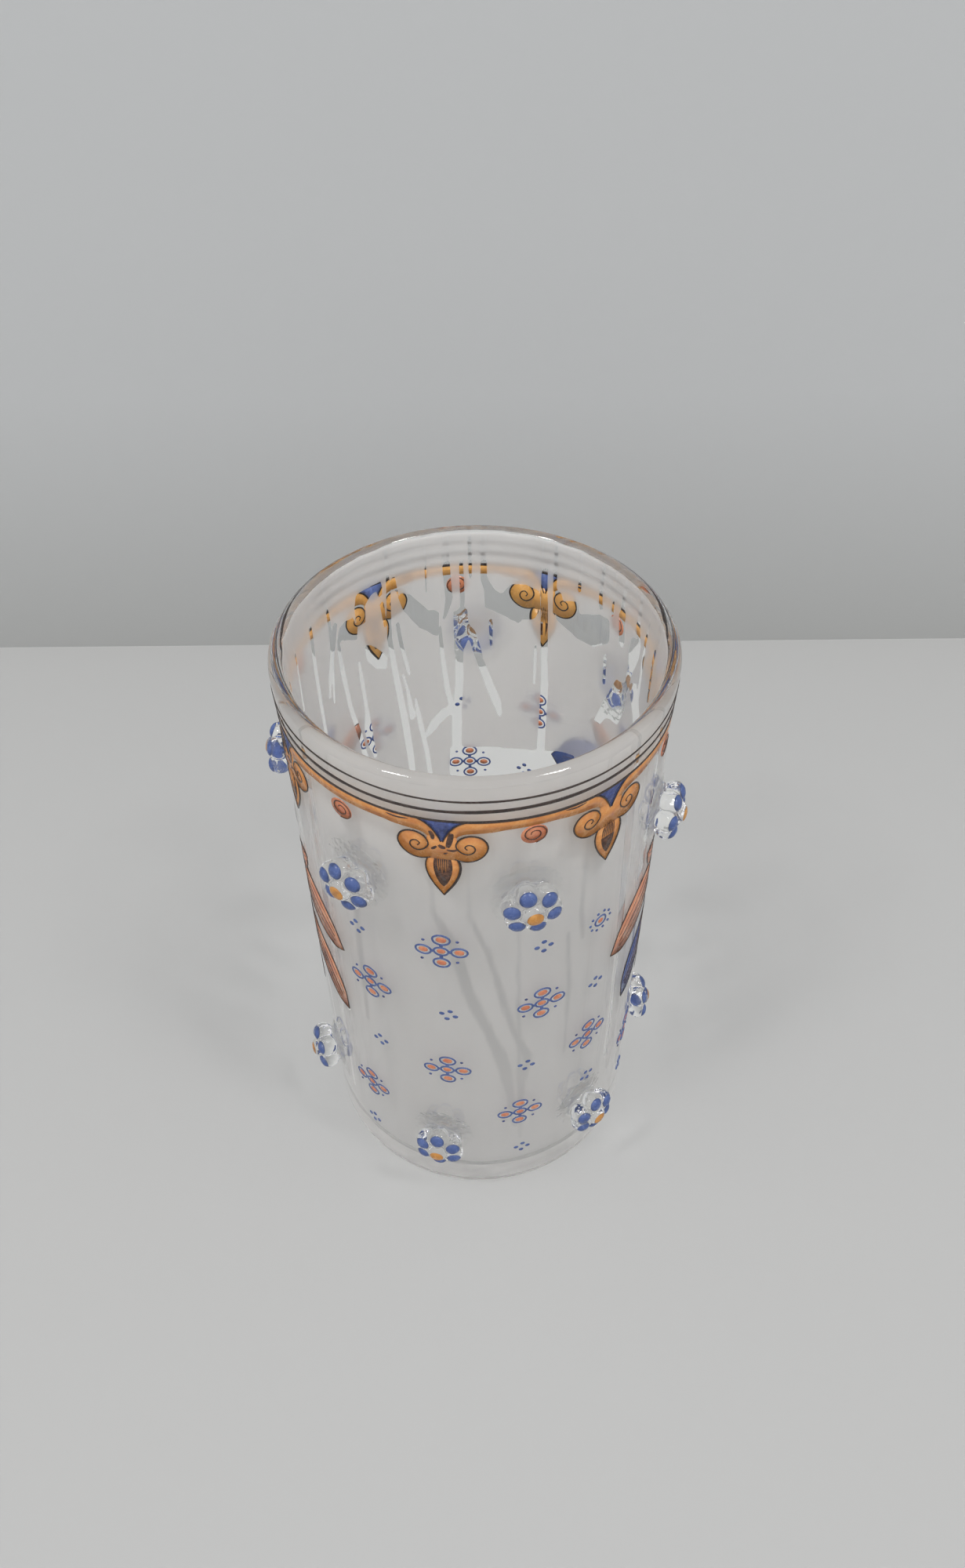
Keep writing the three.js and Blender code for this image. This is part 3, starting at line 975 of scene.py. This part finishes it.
def hatched_heart(brown, angle):
    """A heart that is solid at its tip and fades upwards in fine lines."""
    fill(brown, angle, both_sides(smooth_path(LEAF_HEART[2:], 0.5)), HEART_LAYER)
    for i, s in enumerate(np.linspace(-1.75, 1.75, 10)):
        top = 149.0 - 0.5 * abs(s) + 0.8 * (i % 2)
        points = [(0.8 * s, top), (0.95 * s, 147.0), (s, 144.6)]
        stroke(brown, angle, points, 0.26, taper=0.15, height=SHADE_LAYER)


def make_roundels():
    red, brown = Shell("roundels", RED), Shell("roundel_coils", BROWN)
    for i, (angle, z) in enumerate(ROUNDEL_PLACES):
        lean = math.radians(20 * math.sin(2.1 * i))
        fill(red, angle, oval(0, z, 2.95, 2.75, 28))
        turns = np.linspace(-0.55 * math.pi, 2.9 * math.pi, 15) + lean
        radius = np.linspace(2.95, 0.75, 15)
        coil = [(r * math.cos(t) * 1.02, z + r * math.sin(t) * 0.95) for t, r in zip(turns, radius)]
        stroke(brown, angle, coil, 0.36, taper=0.5)
    return [red.build(), brown.build()]


# The scattered flowers


def add_rosette(blue, dark, red, angle, z, sway):
    """Four ringed petals round a fifth, drops where they meet, and a dot in each corner."""
    petals = ((0, 0, 0.9), (4.3, 0.1, 1), (-4.3, -0.3, 0.98), (0.1 + sway, 4.3, 1.08), (sway, -4.4, 1.02))
    for s, dz, size in petals:
        stroke(blue, angle, oval(s, z + dz, 1.92 * size, 1.62 * size, 20), 0.52, closed=True)
        dot(red, angle, s, z + dz, 1.2 * size, 0.92 * size)
    for s, dz in ((2.1, 0.05), (-2.1, -0.15), (0.05, 2.1), (0, -2.2)):
        dot(blue, angle, s, z + dz, 0.5, 0.55, height=0.15, sides=10)
    for s, dz in ((-4.2, 3.4), (3.9, 4.2), (-4.7, -3.8), (3.8, -3.7)):
        dot(dark, angle, s, z + dz, 0.43, 0.38, sides=8)


def ring_of_dots(shell, angle, z, count, reach, half, lean=0.0, sides=8):
    """Dots round a centre at this height. The reach and the dots' half sizes are across and up."""
    for k in range(count):
        turn = math.radians(360 / count * k) + lean
        s, dz = reach[0] * math.cos(turn), reach[1] * math.sin(turn)
        dot(shell, angle, s, z + dz, *half, sides=sides)


def make_flowers():
    blue, dark = Shell("flowers_blue", BLUE), Shell("flowers_dark", DARK_BLUE)
    red = Shell("flowers_red", RED)
    for i, (angle, z) in enumerate(ROSETTES):
        add_rosette(blue, dark, red, angle, z, 0.18 * math.sin(1.7 * i))
    for i, (angle, z) in enumerate(QUATREFOILS):
        lean = 0.25 * math.sin(2.3 * i)
        ring_of_dots(blue, angle, z, 4, (1.75, 1.7), (0.72, 0.62), lean, sides=10)
    for angle, z in RING_FLOWERS:
        stroke(blue, angle, oval(0, z, 1.7, 1.7, 20), 0.5, closed=True)
        dot(red, angle, 0, z, 0.8, 0.8)
        ring_of_dots(blue, angle, z, 10, (3.2, 3.2), (0.42, 0.42))
    return [shell.build() for shell in (blue, dark, red)]


# The palmettes at the sides


def leaf_outline(base, tip, bulge, fullness):
    """A pointed leaf, widest beyond its middle. Its spine bows by the bulge."""
    base, tip = np.array(base, float), np.array(tip, float)
    along = tip - base
    length = np.linalg.norm(along)
    across = np.array([-along[1], along[0]]) / length
    t = np.linspace(0, 1, 11)
    spine = base + along * t[:, None] + across * (bulge * np.sin(np.pi * t))[:, None]
    half = fullness * np.sin(np.pi * t**1.5) ** 0.65
    upper = spine + across * half[:, None]
    lower = spine - across * half[:, None]
    return upper, lower, spine


# By palmette, its leaves to the front and the back: colour, base, tip, bulge of the spine, half width
PALMETTES = {
    100: (
        (("red", (4, 101), (42, 94), 6.5, 7.8), ("blue", (4, 88), (33, 66), 6, 6.8),
         ("brown", (3, 80), (14, 54), 3, 3.2)),
        (("blue", (4, 96), (40, 98.5), 4, 9.4), ("red", (4, 87), (33, 67), 5.5, 6),
         ("blue", (3, 80), (14, 54), 3, 3.2)),
    ),
    -100: (
        (("red", (4, 101), (41.5, 97), 6.5, 7.2), ("red", (4, 89), (39.5, 69), 6.5, 6.6),
         ("blue", (3, 80), (16, 54), 3, 3.4)),
        (("blue", (4, 99), (31, 97), 3.5, 4.8), ("brown", (4, 90), (34, 74), 5.5, 5.4),
         ("red", (3, 80), (14, 54), 3, 3.2)),
    ),
}
PALMETTE_CROWN = (("red", (4, 109), (27, 119), -3, 3.8), ("blue", (5, 114), (15, 126), -2, 2.6))
PALMETTE_MIDDLE = (("red", 103, 123, 3.6), ("blue", 87, 54, 3.4))
PALMETTE_HEART = 95


def add_leaf(shells, angle, colour, edges, side, height):
    """A leaf with its edges, spine and two veins."""
    upper, lower, spine = (mirrored(p, side) for p in edges)
    fill(shells[colour], angle, [*upper, *lower[::-1][1:-1]][::side], height)
    stroke(shells["outline"], angle, upper, 0.3, taper=0.5)
    stroke(shells["outline"], angle, lower, 0.38, taper=0.5)
    stroke(shells["brown"], angle, spine[1:-1], 0.3, taper=0.2)
    for edge in (upper, lower):
        vein = (np.array(spine[3:10]) + np.array(edge[3:10])) / 2
        stroke(shells["brown"], angle, vein, 0.22, taper=0.1, height=0.14)


def add_palmette(shells, angle, leaves):
    front = -1 if angle > 0 else 1
    for side, row in ((front, leaves[0]), (-front, leaves[1])):
        for i, (colour, *shape) in enumerate((*row, *PALMETTE_CROWN)):
            add_leaf(shells, angle, colour, leaf_outline(*shape), side, PALMETTE_LAYER - LAYER_STEP * i)
    for colour, base, tip, fullness in PALMETTE_MIDDLE:
        leaf = leaf_outline((0, base), (0, tip), 0, fullness)
        add_leaf(shells, angle, colour, leaf, 1, PALMETTE_LAYER + LAYER_STEP / 2)
    heart = oval(0, PALMETTE_HEART, 5.5, 5.5, 28)
    fill(shells["red"], angle, heart, PALMETTE_LAYER + LAYER_STEP)
    stroke(shells["outline"], angle, heart, 0.42, closed=True)
    turns, reach = np.linspace(0, 13, 18), np.linspace(4.2, 0.7, 18)
    coil = np.stack([reach * np.cos(turns), PALMETTE_HEART + reach * np.sin(turns)], axis=1)
    stroke(shells["outline"], angle, coil, 0.36)


def make_palmettes():
    paints = {"red": MARBLED, "blue": BLUE, "brown": BROWN, "outline": BLACK}
    shells = {key: Shell("palmette_" + key, paint) for key, paint in paints.items()}
    for angle, leaves in PALMETTES.items():
        add_palmette(shells, angle, leaves)
    return [shell.build() for shell in shells.values()]


# The surroundings, the light and the camera: its place, its angle downwards and its roll

CAMERA_PLACE = (1.43, -207.736, 336.536)
CAMERA_DOWN = 45.52
CAMERA_ROLL = -0.55
FOCAL_LENGTH = 27.0
WALL_BEHIND = 212.6
FLOOR_DROP = 0.05
STAGE_REACH = 3000

# The floor's colour, then as seen through the glass: a painted pool of gathered light round the foot, a
# painted shadow under it, and where the change lies, in metres off the axis
FLOOR = (0.49, 0.49, 0.485)
GATHERED_LIGHT_PAINT = (0.62, 0.62, 0.61)
SHADED = (0.29, 0.29, 0.29)
SHADE_EDGE = (0.045, 0.065)

# The backdrop's colours, darker near the floor by painted shade, and the height of their change in metres
WALL_PAINTED_SHADE = (0.41, 0.415, 0.41)
WALL_HIGH = (0.51, 0.52, 0.525)
WALL_CHANGE = 0.12

# The lamps' places in metres and power, their size, and the point that they aim at
LAMPS = {"lamp_left": ((-0.62, -0.42, 1.3), 4.0), "lamp_right": ((0.58, -0.38, 1.3), 4.2)}
LAMP_SIZE = (0.16, 0.32)
LAMP_AIM = (0, 0, 0.08)
WORLD_LIGHT = 0.95


def plain(name):
    """A dull paint, still without its colour."""
    n = Nodes(name)
    n.shade("Roughness", 0.9)
    n.shade("Specular IOR Level", 0.1)
    return n


def floor_paint():
    n = plain("floor_paint")
    off_axis = n.add("VectorMath", {0: n.position((1, 1, 0))}, operation="LENGTH")
    beyond = n.remap(off_axis.outputs["Value"], *SHADE_EDGE, smooth=True)
    # Painted light and shadow, seen only through the glass: a shadow under the foot and a pool of light round
    # it
    painted_light_and_shadow = n.ramp(beyond, (0, SHADED), (1, GATHERED_LIGHT_PAINT))
    direct = n.maths("SUBTRACT", 1, n.add("LightPath").outputs["Is Transmission Ray"])
    n.shade("Base Color", n.blend(direct, painted_light_and_shadow, FLOOR))
    return n.material


def wall_paint():
    """Grey, darker towards the floor by painted shade, and clear from behind."""
    n = plain("wall_paint")
    # Painted shade: the backdrop darkens towards the floor
    rise = n.remap(n.coordinates()["Z"], 0, WALL_CHANGE)
    n.shade("Base Color", n.ramp(rise, (0, WALL_PAINTED_SHADE), (1, WALL_HIGH)))
    n.open_where(n.add("NewGeometry").outputs["Backfacing"])
    return n.material


def sheet(name, corners, material):
    """One face, whose front is where its corners run anticlockwise."""
    mesh = bpy.data.meshes.new(name)
    mesh.from_pydata([tuple(METRES * c for c in p) for p in corners], [], [(0, 1, 2, 3)])
    mesh.materials.append(material)
    return put(name, mesh)


def make_stage():
    """A pale floor, and behind it a wall that is seen from its front only."""
    far, z, y = STAGE_REACH, -FLOOR_DROP, WALL_BEHIND
    floor = sheet("floor", [(-far, -far, z), (far, -far, z), (far, far, z), (-far, far, z)], floor_paint())
    wall = sheet("backdrop", [(-far, y, 0), (far, y, 0), (far, y, far), (-far, y, far)], wall_paint())


def make_light():
    world = bpy.data.worlds.new("studio")
    world.use_nodes = True
    background = world.node_tree.nodes["Background"]
    background.inputs["Color"].default_value = (1, 1, 1, 1)
    background.inputs["Strength"].default_value = WORLD_LIGHT
    bpy.context.scene.world = world
    for name, (place, power) in LAMPS.items():
        data = bpy.data.lights.new(name, "AREA")
        data.shape = "RECTANGLE"
        data.size, data.size_y = LAMP_SIZE
        data.energy = power
        lamp = put(name, data)
        lamp.location = place
        lamp.rotation_euler = (Vector(LAMP_AIM) - Vector(place)).to_track_quat("-Z", "Y").to_euler()


def make_camera():
    data = bpy.data.cameras.new("camera")
    data.lens = FOCAL_LENGTH
    data.sensor_width = 36.0
    data.clip_start, data.clip_end = 0.01, 20.0
    camera = put("camera", data)
    tilt = Matrix.Rotation(math.radians(90 - CAMERA_DOWN), 4, "X")
    roll = Matrix.Rotation(math.radians(CAMERA_ROLL), 4, "Z")
    camera.matrix_world = Matrix.Translation(Vector(CAMERA_PLACE) * METRES) @ tilt @ roll
    bpy.context.scene.camera = camera


vessel = make_vessel()
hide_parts("vase_body")
pieces = [vessel, *make_prunts(), *make_rim_lines(), *make_border(), *make_roundels()]
pieces += [*make_flowers(), *make_palmettes()]
for piece in pieces:
    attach(piece, "root")
make_stage()
make_light()
make_camera()
scene = bpy.context.scene
scene.view_settings.view_transform = "Standard"
scene.cycles.max_bounces = 20
scene.cycles.transmission_bounces = 16
scene.cycles.glossy_bounces = 12
scene.cycles.transparent_max_bounces = 24
